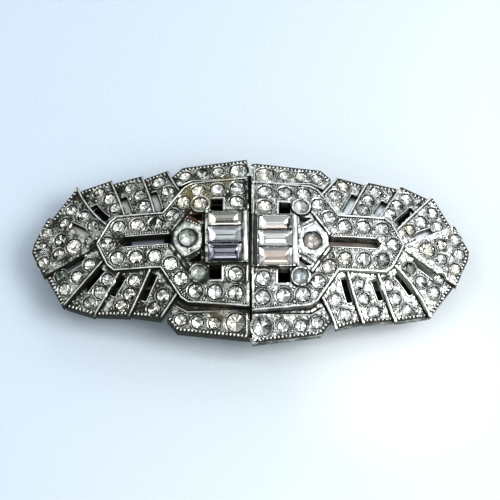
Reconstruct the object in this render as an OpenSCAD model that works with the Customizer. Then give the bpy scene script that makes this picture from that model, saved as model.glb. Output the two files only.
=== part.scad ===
// Double dress clip: two like pierced castings set with clear stones, held side by side
// on a pin frame as one brooch. It lies on its back on the plane z = 0.
// X runs along the brooch, Y up across it, Z out of its face. Sizes are in millimetres.
// A clip is drawn as the right half: x runs away from the seam and y up. The left half is
// the same casting turned by half a turn.

/* [Casting] */
// Radius of the face's curve across the brooch
dome_across = 34; // [31:1:40]
// Radius of the face's curve along the brooch
dome_along = 132; // [115:1:170]
// Height of the face's crest above the plane it lies on
crest_z = 12; // [11.8:0.1:13]
// Thickness of the cast metal
metal_t = 1.4; // [1.3:0.1:1.6]
// Rise of the raised band over the rays
band_rise = 0.75; // [0.6:0.05:0.9]
// Rise of the polished edges over the band
rim_rise = 0.22; // [0.1:0.02:0.3]
// Width of the polished edges
rim_w = 0.36; // [0.25:0.01:0.45]
// Gap between the two castings at the seam
seam_gap = 0.56; // [0.3:0.02:0.8]
// Offset of each casting from the middle line, up on the left and down on the right
clip_shift = 0.4; // [0:0.05:0.5]
// Turn of each casting out of line, in degrees
clip_turn = 0.26; // [0:0.02:0.4]
// Lean of the pattern, as a shift along X for each millimetre along Y
lean = 0.025; // [0:0.005:0.03]

/* [Rays] */
// Tilt of each ray, with its edge towards the seam up, in degrees
louvre = 7; // [3:1:9]
// Width of the pierced slot beside each ray's stones
slot_w = 1.2; // [0.9:0.05:1.3]
// Step in the outline from one ray to the next
ray_step = 0.45; // [0.2:0.05:0.6]
// Tilt of the end bars back towards level, in degrees
bar_tilt = 6; // [0:1:8]

/* [Bridge] */
// Radius of the arch that the three long stones follow
arch_r = 14; // [12:0.5:18]
// Height of the arch's crest over the face
arch_rise = 1.75; // [1.5:0.05:2]
// Length of a long stone
baguette_l = 5.84; // [5.4:0.02:5.84]
// Width of a long stone
baguette_w = 3.05; // [2.8:0.05:3.05]

/* [Stones] */
// Gap between a stone and its seat
seat_gap = 0.06; // [0.04:0.01:0.08]
// Radius of the small stones of the band
band_stone_r = 1.28; // [1.1:0.02:1.3]
// Radius of the largest stone of an end bar
bar_stone_r = 1.66; // [1.4:0.02:1.68]
// Radius of the stone in the six-sided plate
plate_stone_r = 1.55; // [1.3:0.05:1.6]
// Radius of the stones in the round collets
collet_stone_r = 1.32; // [1.2:0.02:1.36]

/* [Back] */
// Length of the pin frame
frame_l = 58; // [54:1:59]
// Width of the pin frame
frame_w = 19; // [18:0.5:19.5]
// Thickness of the pin frame
frame_t = 1.4; // [1.2:0.1:1.4]
// Width of the frame's rails
rail_w = 2.2; // [1.8:0.1:2.4]
// Radius of the pin
pin_r = 0.5; // [0.4:0.05:0.6]

/* [Hidden] */
$fn = 48;
seam_x = seam_gap/2;
reach = 45;             // longer than the casting, for cutting shapes
crown_part = 0.42;      // height of a stone's crown, over its radius
pavilion_part = 0.65;   // depth of a stone's back, over its radius
table_part = 0.56;      // radius of a stone's table, over its own
girdle_sink = 0.08;     // depth of the girdle under the metal
seat_depth = 0.12;      // of a seat under its stone's back

// Bars, band, plate and openings, as corners on the side where y is positive
bar_corners = [[seam_x, 12.45], [10.9, 12.35], [12.9, 11.2], [14.3, 13.6], [12.5, 15.7], [seam_x, 17.2]];
band_corners = [[seam_x, 12.3], [10.6, 11.35], [11.9, 10.5], [15.5, 5.25], [23.7, 5.2], [25, 4.1],
    [27.1, 0]];
plate_corners = [[8.4, 2.15], [11.35, 3.85], [13.55, 1.05]];
long_slot_corners = [[13.7, 0.88], [22.2, 0.88], [23.1, 0]];
window_corners = [[4.95, 5.1], [7, 5.1], [7, 7.55], [4.95, 7.55]];
// The web under the trench between the band and each bar
web_corners = [[seam_x, 11], [10.5, 10.5], [13.2, 9.5], [13.4, 13], [seam_x, 14]];
gusset_corners = [[8.5, 2.85], [10.85, 4.45], [8.5, 4.7]];
plate_wire = [[13.75, 1.1], [10.6, 5.6]];

// Lines between the rays: foot x, foot y, heading, bend, length, slot from, slot to
upper_lines = [
    [12.3, 9.3, 53, 0, 5.2, 0, 0],
    [17.1, 5, 64, -2, 8.5, 0.7, 5.4],
    [22.5, 5, 58, 0, 8.5, 0.7, 4.3],
    [25.6, 3, 47, 0, 10.1, 1.3, 6],
    [27, 0.2, 26, -4, 10.2, 2.8, 7]];
lower_lines = [
    [12.3, -9.9, -64, -12, 5.1, 0, 0],
    [16.6, -5, -73, 8, 8.9, 0.9, 5.2],
    [21.9, -5, -70, 4, 8.5, 0.9, 4.6],
    [25.2, -3.8, -55, -24, 10.1, 0.9, 5.4],
    [27, -0.6, -33, 0, 10.5, 2.2, 6.8]];
tip_corners = [[38.9, 0.1], [38.6, -1.5]];

// Stones of the rays: first x, first y, heading, bend at each step, pitch, stones, radius
upper_stones = [
    [15.25, 9.8, 52, 0, 2.6, 2, 1.18],
    [20.2, 7, 66, -13, 2.36, 3, 1.1],
    [25, 6.4, 56, -15, 2.46, 3, 1.1],
    [28.3, 3.4, 42, 0, 2.95, 3, 1.1],
    [33.5, 4.75, 0, 0, 0, 1, 1.02]];
lower_stones = [
    [14.65, -10.1, -55, 0, 2.9, 2, 1.18],
    [18.75, -7.2, -69, 21, 2.67, 3, 1.1],
    [24, -7.2, -62, 22, 2.54, 3, 1.1],
    [27.9, -4, -49, 14, 2.85, 3, 1.1],
    [33.2, -5.35, 0, 0, 0, 1, 1.02]];
// Stones of the band and the bars on one side: x, y, radius
band_stones = [
    [2.4, 10.05, band_stone_r], [5.95, 9.75, band_stone_r], [9.3, 9.5, band_stone_r],
    [2.45, 6.8, band_stone_r], [11.9, 7.3, band_stone_r - 0.04], [13.75, 4.6, band_stone_r - 0.04],
    [16.55, 3.05, band_stone_r - 0.08], [19.9, 3.05, band_stone_r - 0.08],
    [23.2, 2.95, band_stone_r - 0.08]];
bar_stones = [[5.95, 14.5, 1.06], [8.95, 14.3, 1.06], [11.85, 13.75, 1.06]];
big_bar_stone = [2.3, 14.5, bar_stone_r];
collet_stone = [8.85, 6.55, collet_stone_r];
point_stone = [25.14, 0, 1.18];
plate_stone = [10.9, 0, plate_stone_r];
tip_stone = [31.25, -0.25, 1.4];
tip_pitch = 2.93;       // from the tip's first stone to its next two, and on to its last three
tip_heading = -4;
tip_spread = 28.6;
tip_small_r = 1.08;     // radius of the tip's small stones
tip_lead = 0.5;         // of the tip under the point of the band
ray_lead = 1.2;         // of a ray under the band

slot_wall = 0.12;       // between a slot and the line beside it
ray_lap = 0.04;         // of a ray over the line at its low edge
collet_rise = 1.15;
collet_wall = 0.3;
plate_rise = 0.92;
trench_depth = 0.75;
thick_t = metal_t + 0.2;    // of the bars and the tip
arch_x0 = 1.4;          // the long stones' bed, along X
arch_x1 = arch_x0 + baguette_l + 2*seat_gap;
arch_half = 4.9;        // the arch's half width along Y
arch_foot = 1.1;        // where the bed's inner wall starts, along X
arch_floor = -0.3;      // of the cut that the arch stands in
arch_side = 0.24;       // the wall at each end of the arch
rail_r = 0.42;          // the round rail beside the seam
rail_sink = 0.35;       // of the rail's middle under the long stones' girdles
bed_gap = 0.1;          // under the long stones
bed_t = 0.4;
groove_w = 0.65;        // of the groove that parts the arch from the six-sided plate
groove_half = 2.5;
baguette_gap = 0.12;
baguette_down = 1;      // depth of a long stone's back
baguette_crown = 0.6;
strip_w = 0.42;
arch_cz = arch_rise - arch_r;

frame_z = 4;            // underside of the frame
rest_gap = 0.06;        // between the castings' lugs and the frame
frame_corner = 1.5;     // cut off each corner of the frame
middle_bar = 3;         // width of the frame's bar at the seam
tail_w = 2.6;           // width of the bar's tails behind the seam
tail_l = 31.4;          // from the end of one tail to that of the other
tail_drop = 0.3;        // of the tails under the frame's face
block_l = 3.6;          // the pin's hinge and catch
block_w = 6;
pin_z = 1;
clasp_x = [12.95, 24.15];
clasp_z = 2;
clasp_t = 1;
tongue_x = [15.3, 21.5];
tongue_y = [-9, 1];     // from the tongue's turned-up end to where the plate starts to narrow
tongue_gap = 0.15;      // between that end and the frame
hinge_y = 5.2;
hinge_z = 3.3;
hinge_r = 0.95;
spindle_r = 0.5;
ear_t = 0.9;
ear_w = 2.3;
ear_drop = 1.1;         // from the spindle's middle to the foot of its ears
lug_r = 1.1;
lug_spots = [[3.5, 8.4], [12.1, 8.3], [25.7, 7.8]];

metal = [0.66, 0.66, 0.63];
plain_metal = [0.55, 0.55, 0.54];
stone_clear = [0.86, 0.88, 0.84];
stone_dull = [0.5, 0.53, 0.48];

SIDES = ["left", "right"];

// Geometry of the domed face

// Height of the face at a point of the plan, at a level over the rays
function face_z(x, y, level) =
    sqrt(pow(dome_along - dome_across + sqrt(pow(dome_across + level, 2) - y*y), 2) - x*x) - dome_along;
function slope_y(y, level) = asin(y/(dome_across + level));
function slope_x(x, y, level) =
    asin(x/(dome_along - dome_across + sqrt(pow(dome_across + level, 2) - y*y)));
function turned(v, a, b) = let (w = [v[0], v[1]*cos(a) + v[2]*sin(a), v[2]*cos(a) - v[1]*sin(a)])
    [w[0]*cos(b) + w[2]*sin(b), w[1], w[2]*cos(b) - w[0]*sin(b)];
// A seat is a point, its normal and the stone's radius
function face_seat(s, level) = [[s[0], s[1], face_z(s[0], s[1], level)],
    turned([0, 0, 1], slope_y(s[1], level), slope_x(s[0], s[1], level)), s[2]];
// A flat plate is x, y and level of its middle, its heading and its tilt about that heading
function plate_normal(p) = turned([sin(p[3])*sin(p[4]), -cos(p[3])*sin(p[4]), cos(p[4])],
    slope_y(p[1], p[2]), slope_x(p[0], p[1], p[2]));
function plate_seat(p, s) = let (n = plate_normal(p), z = face_z(p[0], p[1], p[2]))
    [[s[0], s[1], z - (n[0]*(s[0] - p[0]) + n[1]*(s[1] - p[1]))/n[2]], n, s[2]];

function leaned(s) = [s[0] > seam_x ? s[0] + lean*s[1] : s[0], s[1], s[2]];
function flat(points) = [for (p = points) [p[0], p[1]]];
function below(points) = [for (i = [len(points) - 1:-1:0])
    let (p = points[i]) if (p[1] > 0) [p[0], -p[1], p[2]]];
function both_sides(points) = flat([for (p = concat(points, below(points))) leaned(p)]);
function unit(v) = v/norm(v);
function wrap(points, i) = points[(i + len(points))%len(points)];
// Corners moved inwards by d; they run clockwise
function inset(points, d) = [for (i = [0:len(points) - 1])
    let (a = unit(points[i] - wrap(points, i - 1)), b = unit(wrap(points, i + 1) - points[i]),
        m = unit([a[1] + b[1], -a[0] - b[0]]))
    points[i] + m*d/max(0.5, m*[a[1], -a[0]])];

// Rays
// A line between rays is an arc, or straight where its bend is 0; aside is to its left
function line_heading(l, along) = l[2] + l[3]*(along/l[4] - 0.5);
function line_point(l, along, aside) =
    let (h0 = line_heading(l, 0), h = line_heading(l, along), r = l[4]*180/PI/l[3])
    (l[3] == 0 ? [l[0] + along*cos(h), l[1] + along*sin(h)]
        : [l[0] + r*(sin(h) - sin(h0)), l[1] - r*(cos(h) - cos(h0))]) + aside*[-sin(h), cos(h)];
function line_points(l, from, to, aside) = let (n = l[3] == 0 ? 1 : 3)
    [for (i = [0:n]) line_point(l, from + (to - from)*i/n, aside)];
// A ray lies between two lines: it stands out by a step at the first and laps over the second
function ray_corners(l, m, side) = concat(line_points(l, -ray_lead, l[4] + ray_step, 0),
    line_points(m, m[4], -ray_lead, -side*ray_lap));
function ray_plate(l, m, side) =
    let (a = line_point(l, l[4]/2, 0), b = line_point(m, m[4]/2, 0), c = (a + b)/2)
    [c[0], c[1], 0, (l[2] + m[2])/2, side*louvre];
// Stones step along a heading that bends at each step
function row_stone(r, k) = k == 0 ? [r[0], r[1]]
    : row_stone(r, k - 1) + r[4]*[cos(r[2] + r[3]*(k - 1)), sin(r[2] + r[3]*(k - 1))];
function row_seats(r, p) = [for (k = [0:r[5] - 1])
    let (s = row_stone(r, k)) plate_seat(p, [s[0], s[1], r[6]])];
function fan_plates(lines, side) = [for (i = [0:3]) ray_plate(lines[i], lines[i + 1], side)];
function fan_seats(rows, plates) = [for (i = [0:4]) for (s = row_seats(rows[i], plates[min(i, 3)])) s];

upper_plates = fan_plates(upper_lines, 1);
lower_plates = fan_plates(lower_lines, -1);
bar_plates = [for (side = [1, -1]) [7, side*14.6, -0.1, 0, side*bar_tilt]];
tip_plate = [33, -0.5, 0.2, 0, 0];
tip_outline = let (u = upper_lines[4], l = lower_lines[4])
    concat(line_points(u, -tip_lead, u[4] + ray_step, 0), tip_corners,
        line_points(l, l[4] + ray_step, -tip_lead, 0));
tip_stones = [for (row = [1, 2]) for (k = [-row:2:row])
    let (a = tip_heading + tip_spread*k/row, d = tip_pitch*row)
    [tip_stone[0] + d*cos(a), tip_stone[1] + d*sin(a), tip_small_r]];

// Seats of one clip. The upper or lower one of a pair is number 0 or 1
function mirrored(s, k) = leaned(k == 0 ? s : [s[0], -s[1], s[2]]);
function bar_seat(k) = plate_seat(bar_plates[k], mirrored(big_bar_stone, k));
function collet_seat(k) = face_seat(mirrored(collet_stone, k), collet_rise);
point_seat = face_seat(point_stone, band_rise);
plate_centre_seat = face_seat(plate_stone, plate_rise);
tip_seat = plate_seat(tip_plate, tip_stone);
small_seats = concat(
    [for (k = [0, 1]) for (s = band_stones) face_seat(mirrored(s, k), band_rise)],
    [for (k = [0, 1]) for (s = bar_stones) plate_seat(bar_plates[k], mirrored(s, k))],
    fan_seats(upper_stones, upper_plates), fan_seats(lower_stones, lower_plates),
    [for (s = tip_stones) plate_seat(tip_plate, s)]);
main_seats = concat([for (k = [0, 1]) bar_seat(k)], [for (k = [0, 1]) collet_seat(k)],
    [point_seat, plate_centre_seat, tip_seat]);

// Placing

module at_seat(s) {
    translate(s[0]) rotate([0, acos(s[1][2]), atan2(s[1][1], s[1][0])]) children();
}

module on_plate(p) {
    translate([p[0], p[1], face_z(p[0], p[1], p[2])])
        rotate([-slope_y(p[1], p[2]), slope_x(p[0], p[1], p[2]), 0])
        rotate([0, 0, p[3]]) rotate([p[4], 0, 0]) children();
}

module place_clip(side) {
    up = side == "left" ? 1 : -1;
    turn = (side == "left" ? 180 : 0) + up*clip_turn;
    translate([0, up*clip_shift, crest_z]) rotate([0, 0, turn]) children();
}

// Casting

// The shell between two levels of the domed face, over an outline in the plan
module face_layer(points, low, high) {
    intersection() {
        translate([0, 0, -reach]) linear_extrude(2*reach) polygon(points);
        rotate([90, 0, 0]) translate([0, -dome_along, 0])
            rotate([0, 0, 65]) rotate_extrude(angle = 50, $fn = 180)
            intersection() {
                translate([dome_along - dome_across, 0]) difference() {
                    circle(dome_across + high, $fn = 120);
                    circle(dome_across + low, $fn = 120);
                }
                translate([dome_along - dome_across/2, -reach/2]) square([dome_across, reach]);
            }
    }
}

module plate_layer(p, points, low, high) {
    intersection() {
        translate([0, 0, -reach]) linear_extrude(2*reach) polygon(points);
        on_plate(p) translate([-reach/2, -reach/2, low]) cube([reach, reach, high - low]);
    }
}

// A polished lip along a ray's edge towards the seam
module ray_lip(p, l, side) {
    end = l[4] + ray_step;
    corners = concat(line_points(l, 0, end, 0), line_points(l, end, 0, -side*rim_w));
    plate_layer(p, corners, -metal_t/2, rim_rise);
}

module fan(lines, plates, side) {
    for (i = [0:3]) {
        plate_layer(plates[i], ray_corners(lines[i], lines[i + 1], side), -metal_t, 0);
        ray_lip(plates[i], lines[i], side);
    }
}

module fan_slots(lines, side) {
    for (l = lines) if (l[6] > 0)
        translate([0, 0, -reach]) linear_extrude(2*reach)
            polygon(concat(line_points(l, l[5], l[6], side*slot_wall),
                line_points(l, l[6], l[5], side*(slot_wall + slot_w))));
}

module openings() {
    translate([0, 0, -reach]) linear_extrude(2*reach) {
        polygon(both_sides(long_slot_corners));
        for (k = [0, 1]) for (c = [window_corners, gusset_corners])
            polygon(flat([for (p = c) mirrored(p, k)]));
    }
    fan_slots(upper_lines, 1);
    fan_slots(lower_lines, -1);
}

module band() {
    outline = both_sides(band_corners);
    face_layer(outline, -metal_t, band_rise);
    difference() {
        face_layer(outline, 0, band_rise + rim_rise);
        face_layer(inset(outline, rim_w), -metal_t, band_rise + 1);
    }
}

module six_sided_plate() {
    face_layer(both_sides(plate_corners), -metal_t, plate_rise);
    for (k = [0, 1]) {
        a = mirrored(plate_wire[0], k);
        b = mirrored(plate_wire[1], k);
        n = rim_w*unit([abs(b[1] - a[1]), (a[0] - b[0])*(1 - 2*k)]);
        c = [[a[0], a[1]], [b[0], b[1]], [b[0] + n[0], b[1] + n[1]], [a[0] + n[0], a[1] + n[1]]];
        face_layer(c, 0, plate_rise + rim_rise);
    }
}

// Part of a ring about the arch's axis
module arch_ring(r0, r1, x0, x1, half) {
    intersection() {
        translate([x0, 0, arch_cz]) rotate([0, 90, 0]) difference() {
            cylinder(r = r1, h = x1 - x0, $fn = 120);
            if (r0 > 0) translate([0, 0, -1]) cylinder(r = r0, h = x1 - x0 + 2, $fn = 120);
        }
        translate([x0 - 1, -half, -metal_t]) cube([x1 - x0 + 2, 2*half, 2*metal_t + arch_rise]);
    }
}

module arch() {
    bed = arch_r - baguette_down - bed_gap;
    x2 = arch_x1 + strip_w;
    arch_ring(0, bed, seam_x, x2, arch_half);
    arch_ring(bed - bed_t, arch_r + 0.15, arch_x1, x2, arch_half);
    arch_ring(bed - bed_t, arch_r, arch_foot, arch_x0, arch_half);
    difference() {
        arch_ring(bed - bed_t, arch_r, arch_foot, x2, arch_half);
        arch_ring(0, arch_r + 1, arch_foot - 0.2, x2 + 1, arch_half - arch_side);
    }
    // Round rail beside the seam
    intersection() {
        translate([seam_x + rail_r, 0, arch_cz]) rotate([0, 90, 0])
            rotate_extrude($fn = 120) translate([arch_r - rail_sink, 0]) circle(rail_r, $fn = 24);
        translate([0, -arch_half, -1]) cube([2, 2*arch_half, 4]);
    }
    arch_ring(bed - bed_t, arch_r - rail_sink, seam_x + 0.1, arch_foot + 0.1, arch_half);
}

module collets() {
    for (k = [0, 1]) at_seat(collet_seat(k))
        translate([0, 0, -collet_rise - 1])
            cylinder(r = collet_stone_r + seat_gap + collet_wall, h = collet_rise + 1.05);
}

module seat_cut(s) {
    at_seat(s) translate([0, 0, -girdle_sink - pavilion_part*s[2] - seat_depth])
        cylinder(r = s[2] + seat_gap, h = pavilion_part*s[2] + 3, $fn = 32);
}

// Ears for the clasp's spindle and lugs that bear on the frame, soldered to the back
module back_fittings() {
    for (x = [clasp_x[0] - ear_t, clasp_x[1]]) {
        top = face_z(x, hinge_y, 0) - metal_t/2;
        translate([x, hinge_y - ear_w/2, hinge_z - ear_drop - crest_z])
            cube([ear_t, ear_w, top + crest_z - hinge_z + ear_drop]);
    }
    for (s = lug_spots) for (side = [1, -1]) {
        low = frame_z + frame_t + rest_gap - crest_z;
        top = face_z(s[0], s[1], 0) - metal_t*0.6;
        translate([s[0], side*s[1], low]) cylinder(r = lug_r, h = top - low);
    }
}

module casting() {
    difference() {
        union() {
            band();
            six_sided_plate();
            for (k = [0, 1]) {
                plate_layer(bar_plates[k], flat([for (p = bar_corners) mirrored(p, k)]), -thick_t, 0);
                face_layer(flat([for (p = web_corners) mirrored(p, k)]), -metal_t, -trench_depth);
            }
            fan(upper_lines, upper_plates, 1);
            fan(lower_lines, lower_plates, -1);
            plate_layer(tip_plate, tip_outline, -thick_t, 0);
            collets();
            back_fittings();
        }
        openings();
        for (s = concat(small_seats, main_seats)) seat_cut(s);
        // Bed of the arch, and the groove that parts it from the six-sided plate
        translate([-1, -arch_half, arch_floor]) cube([arch_x1 + strip_w + 1, 2*arch_half, 5]);
        translate([arch_x1 + strip_w - 0.1, -groove_half, arch_floor]) cube([groove_w, 2*groove_half, 3]);
        translate([clasp_x[0] - 2, hinge_y, hinge_z - crest_z]) rotate([0, 90, 0])
            cylinder(r = spindle_r + seat_gap, h = clasp_x[1] - clasp_x[0] + 4);
    }
    arch();
}

module clip(side) {
    color(metal) place_clip(side) casting();
}

// Stones

function ring_points(r, z, n, turn) = [for (i = [0:n - 1])
    let (a = turn + 360*i/n) [r*cos(a), r*sin(a), z]];

// Eight-sided table, sixteen-sided girdle and a pointed back
module cut_stone(r) {
    table = ring_points(table_part*r, crown_part*r, 8, 22.5);
    girdle = ring_points(r, 0, 16, 0);
    polyhedron(concat(table, girdle, [[0, 0, -pavilion_part*r]]), concat(
        [[for (i = [7:-1:0]) i]],
        [for (i = [0:7]) [i, (i + 1)%8, 8 + (2*i + 2)%16]],
        [for (i = [0:7]) [i, 8 + 2*i + 1, 8 + 2*i]],
        [for (i = [0:7]) [i, 8 + (2*i + 2)%16, 8 + 2*i + 1]],
        [for (i = [0:15]) [8 + i, 8 + (i + 1)%16, 24]]));
}

module set_stone(s) {
    at_seat(s) translate([0, 0, -girdle_sink]) cut_stone(s[2]);
}

// Long step-cut stone: half length, half width and height of each tier, from the back up
module baguette() {
    l = baguette_l/2;
    w = baguette_w/2;
    tiers = [[l - 1.1, 0.25, -baguette_down], [l, w, 0], [l - 0.4, w - 0.4, 0.38],
        [l - 0.85, w - 0.75, baguette_crown]];
    corners = [[-1, -1], [1, -1], [1, 1], [-1, 1]];
    polyhedron([for (t = tiers) for (c = corners) [t[0]*c[0], t[1]*c[1], t[2]]], concat(
        [[0, 1, 2, 3], [15, 14, 13, 12]],
        [for (k = [0:2]) for (i = [0:3]) [4*k + i, 4*k + 4 + i, 4*k + 4 + (i + 1)%4, 4*k + (i + 1)%4]]));
}

module arch_baguette(side, k) {
    step = 2*atan((baguette_w + baguette_gap)/2/(arch_r - baguette_down/2));
    color(stone_clear) place_clip(side)
        translate([arch_x0 + seat_gap + baguette_l/2, 0, arch_cz]) rotate([(k - 2)*step, 0, 0])
        translate([0, 0, arch_r]) baguette();
}

module stones(side, seats, tint) {
    color(tint) place_clip(side) for (s = seats) set_stone(s);
}

// Back

// Plate with a narrower tongue whose end turns up under the frame's rail, and its spindle
module clasp(side) {
    color(plain_metal) place_clip(side) translate([0, 0, -crest_z]) {
        x0 = clasp_x[0] + seat_gap;
        x1 = clasp_x[1] - seat_gap;
        translate([0, 0, clasp_z]) linear_extrude(clasp_t)
            polygon([[x0, hinge_y], [x1, hinge_y], [x1, tongue_y[1]], [tongue_x[1], -tongue_y[1]],
                [tongue_x[1], tongue_y[0]], [tongue_x[0], tongue_y[0]],
                [tongue_x[0], -tongue_y[1]], [x0, tongue_y[1]]]);
        translate([x0, hinge_y, hinge_z]) rotate([0, 90, 0]) cylinder(r = hinge_r, h = x1 - x0);
        translate([x0 - ear_t, hinge_y, hinge_z]) rotate([0, 90, 0])
            cylinder(r = spindle_r, h = x1 - x0 + 2*ear_t);
        translate([tongue_x[0], tongue_y[0], clasp_z])
            cube([tongue_x[1] - tongue_x[0], 1, frame_z - tongue_gap - clasp_z]);
    }
}

// Flat frame with a bar at the seam, the pin's plain hinge and catch, and the pin
module pin_frame() {
    color(plain_metal) {
        // The bar runs on behind the seam as a tail at each end
        for (side = [0, 1]) mirror([0, side, 0])
            translate([-tail_w/2, frame_w/2 - rail_w/2, frame_z])
            cube([tail_w, (tail_l - frame_w + rail_w)/2, frame_t - tail_drop]);
        translate([0, 0, frame_z]) linear_extrude(frame_t) difference() {
            intersection() {
                square([frame_l, frame_w], center = true);
                rotate(45) square((frame_l + frame_w - 2*frame_corner)/sqrt(2), center = true);
            }
            for (side = [0, 1]) mirror([side, 0]) translate([middle_bar/2, rail_w - frame_w/2])
                square([frame_l/2 - rail_w - middle_bar/2, frame_w - 2*rail_w]);
        }
        for (side = [0, 1]) mirror([side, 0, 0]) translate([frame_l/2 - block_l, -block_w/2, 0])
            cube([block_l, block_w, frame_z + frame_t/2]);
        translate([1 - frame_l/2, 0, pin_z]) rotate([0, 90, 0]) cylinder(r = pin_r, h = frame_l - 2);
    }
}

// Nodes

for (s = SIDES) {
    clip(s);
    clasp(s);
    for (k = [1:3]) arch_baguette(s, k);
    stones(s, [plate_centre_seat], stone_dull);
    for (k = [0, 1]) {
        // The left casting is turned, so its upper stones are the drawn clip's lower ones
        e = (k == 0) == (s == "right") ? "upper" : "lower";
        stones(s, [collet_seat(k)], stone_dull);
        stones(s, [bar_seat(k)], stone_clear);
    }
    stones(s, [point_seat], stone_clear);
    stones(s, [tip_seat], stone_clear);
    stones(s, small_seats, stone_clear);
}
pin_frame();
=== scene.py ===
# %% [markdown]
# Double dress clip
# The object is a brooch of the 1930s: two pierced castings of white metal, each set with sixty
# glass stones, held side by side on a pin frame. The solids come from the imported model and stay
# as they are. Here they get their worn plating, and the parts too fine for the solids are added:
# cut stones, beaded edges, bright lips, and the collars and grains round the stones.

# %% Load the frame
import math
import bpy
import numpy as np
from mathutils import Matrix, Vector
from mathutils.bvhtree import BVHTree


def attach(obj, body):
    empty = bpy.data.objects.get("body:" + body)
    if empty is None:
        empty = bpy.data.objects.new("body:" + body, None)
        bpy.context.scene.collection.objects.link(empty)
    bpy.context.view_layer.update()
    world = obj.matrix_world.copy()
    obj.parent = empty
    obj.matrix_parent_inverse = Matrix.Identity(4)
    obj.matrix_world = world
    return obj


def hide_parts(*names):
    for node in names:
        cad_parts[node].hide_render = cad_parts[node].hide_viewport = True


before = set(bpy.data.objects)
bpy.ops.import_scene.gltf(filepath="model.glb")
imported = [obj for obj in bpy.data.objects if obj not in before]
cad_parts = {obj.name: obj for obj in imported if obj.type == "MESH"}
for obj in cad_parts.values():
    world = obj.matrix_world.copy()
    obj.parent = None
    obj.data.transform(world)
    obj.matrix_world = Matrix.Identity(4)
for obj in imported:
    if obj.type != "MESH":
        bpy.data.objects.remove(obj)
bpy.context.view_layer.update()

MM = 0.001
SIDES = ("left", "right")


def add_object(name, data):
    """A new object of the scene, at the frame's origin."""
    made = bpy.data.objects.new(name, data)
    bpy.context.scene.collection.objects.link(made)
    return made


# %% [markdown]
# The camera comes first, because every later choice is judged through it. The photo looks down at
# the brooch from 67 degrees above the table, from about 22 cm away. The small shift puts the
# brooch where the photo has it in the frame.

# %% Camera
CREST_Z = 12.0*MM
CAMERA_TILT = math.radians(23)
CAMERA_DISTANCE = 225*MM
CAMERA_ROLL = math.radians(-0.557)
LENS = 92.99
CAMERA_SHIFT = (-0.0004, -0.0208)
camera_data = bpy.data.cameras.new("camera")
camera_data.lens = LENS
camera_data.sensor_width = 36
camera_data.shift_x, camera_data.shift_y = CAMERA_SHIFT
camera_data.clip_start = 0.01
camera_data.clip_end = 10
camera = add_object("camera", camera_data)
camera.matrix_world = (Matrix.Translation((0, 0, CREST_Z)) @ Matrix.Rotation(CAMERA_TILT, 4, "X")
                       @ Matrix.Translation((0, 0, CAMERA_DISTANCE)) @ Matrix.Rotation(CAMERA_ROLL, 4, "Z"))
bpy.context.scene.camera = camera
print("camera stands at, mm:", [round(c/MM, 1) for c in camera.matrix_world.translation])

# %% [markdown]
# A material is a small program. The class below lets it be written as one: a Socket stands for a
# node's output, and adding or multiplying sockets adds the Math nodes that do it. Every other node
# comes from Recipe.node, which sets the node's settings first and then its inputs.

# %% Writing materials as expressions
class Socket:
    def __init__(self, recipe, socket):
        self.recipe = recipe
        self.socket = socket

    def math(self, operation, *values):
        return self.recipe.node("Math", {"operation": operation}, dict(enumerate(values)))

    def __add__(self, other):
        return self.math("ADD", self, other)

    def __radd__(self, other):
        return self.math("ADD", other, self)

    def __sub__(self, other):
        return self.math("SUBTRACT", self, other)

    def __rsub__(self, other):
        return self.math("SUBTRACT", other, self)

    def __mul__(self, other):
        return self.math("MULTIPLY", self, other)

    def __rmul__(self, other):
        return self.math("MULTIPLY", other, self)

    def above(self, low, high):
        """0 at low and 1 at high, smoothly between."""
        return self.recipe.node("MapRange", {"interpolation_type": "SMOOTHSTEP"},
                                {0: self, 1: low, 2: high, 3: 0.0, 4: 1.0})


class Recipe:
    def __init__(self, name, kept=bpy.data.materials):
        self.made = kept.new(name)
        self.made.use_nodes = True
        self.tree = self.made.node_tree
        self.tree.nodes.clear()

    def node(self, kind, settings=None, sockets=None, out=0):
        made = self.tree.nodes.new("ShaderNode" + kind)
        for name, value in (settings or {}).items():
            setattr(made, name, value)
        for name, value in (sockets or {}).items():
            if isinstance(value, Socket):
                self.tree.links.new(value.socket, made.inputs[name])
            else:
                made.inputs[name].default_value = value
        return Socket(self, made.outputs[out]) if len(made.outputs) else None

    def place(self):
        """The point shaded, in the frame, in metres."""
        return self.node("TexCoord", out="Object")

    def noise(self, size, detail=2.0, roughness=0.5, where=None):
        """Noise from 0 to 1, with lumps of a size in metres."""
        return self.node("TexNoise", {}, {"Vector": where or self.place(), "Scale": 1/size,
                                          "Detail": detail, "Roughness": roughness})

    def mix(self, a, b, factor):
        colours = [c if isinstance(c, Socket) else (*c, 1.0) for c in (a, b)]
        return self.node("Mix", {"data_type": "RGBA"}, {0: factor, 6: colours[0], 7: colours[1]}, 2)

    def vector_math(self, operation, *values, out="Value"):
        return self.node("VectorMath", {"operation": operation}, dict(enumerate(values)), out)

    def spot(self, centre, radius, soft):
        """1 near a point and 0 beyond a radius, in mm. soft is the part of the radius that fades."""
        away = self.vector_math("DISTANCE", self.place(), [c*MM for c in centre])
        return 1 - away.above(radius*(1 - soft)*MM, radius*MM)

    def open_sky(self, reach, samples=8):
        """1 in the open, and less where something stands within a reach in mm."""
        return self.node("AmbientOcclusion", {"samples": samples}, {"Distance": reach*MM}, "AO")

    def bump(self, height, depth, strength=1.0):
        return self.node("Bump", {}, {"Height": height, "Distance": depth, "Strength": strength})

    def finish(self, sockets):
        shader = self.node("BsdfPrincipled", {}, sockets)
        self.node("OutputMaterial", {}, {"Surface": shader})
        return self.made


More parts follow.
